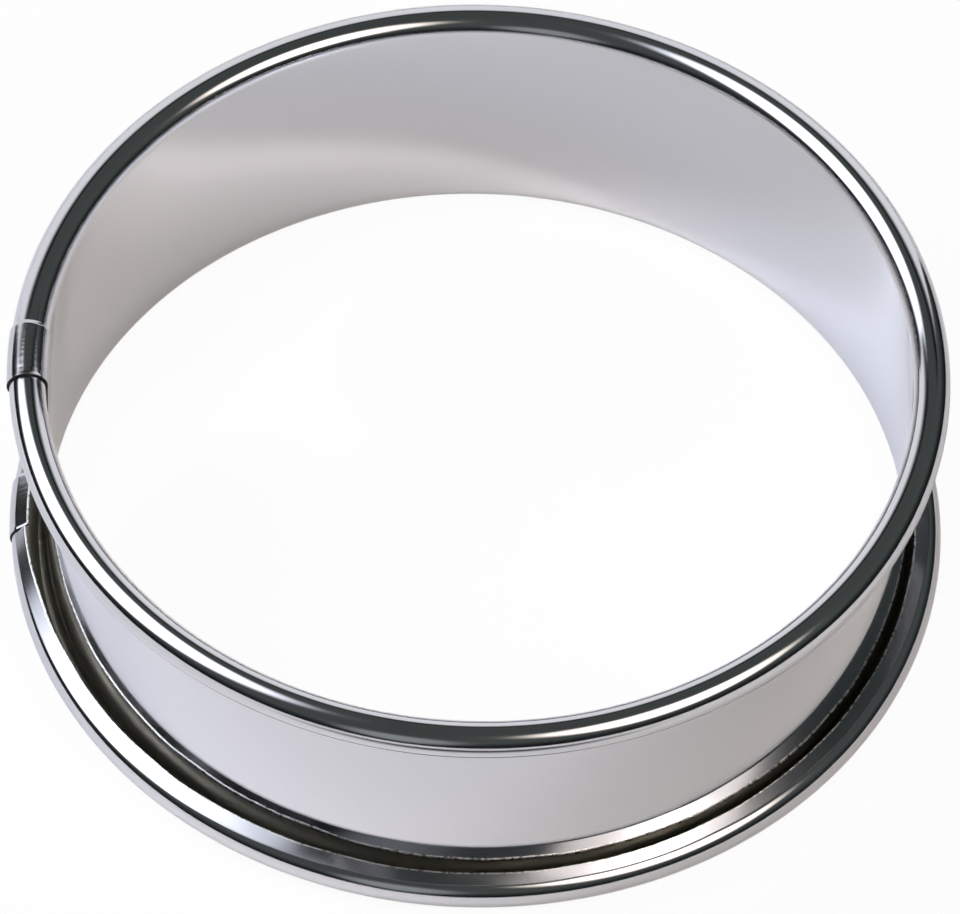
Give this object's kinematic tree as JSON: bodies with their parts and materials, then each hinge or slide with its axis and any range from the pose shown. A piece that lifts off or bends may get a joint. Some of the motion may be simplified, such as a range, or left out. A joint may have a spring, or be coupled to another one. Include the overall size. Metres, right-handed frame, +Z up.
{
  "type": "cake ring",
  "caption": "Open metal hoop for shaping cakes and muffins: a straight sheet wall with hollow curled beads on both edges and a telescoped, spot-welded lap.",
  "frame": {"origin": "on the ring's axis, in the plane that the lower bead stands on", "axes": "+Z up along the ring's axis; the lap is at -X, with its mouth 3.5 degrees from -X towards -Y"},
  "size_m": [0.0979, 0.0976, 0.0306],
  "materials": {
    "wall_sheet": "bright rolled tinplate, soft reflections",
    "curled_bead": "bright tinplate burnished by the curling rollers",
    "swaged_end": "bright tinplate lightly scuffed by the swaging tool",
    "weld_metal": "dull electrode mark"
  },
  "bodies": {
    "root": {"wall_band": "wall_sheet", "top_bead": "curled_bead", "bottom_bead": "curled_bead", "inner_lap": "wall_sheet", "top_sleeve": "swaged_end", "bottom_sleeve": "swaged_end", "upper_spot_weld": "weld_metal", "lower_spot_weld": "weld_metal"}
  },
  "joints": []
}
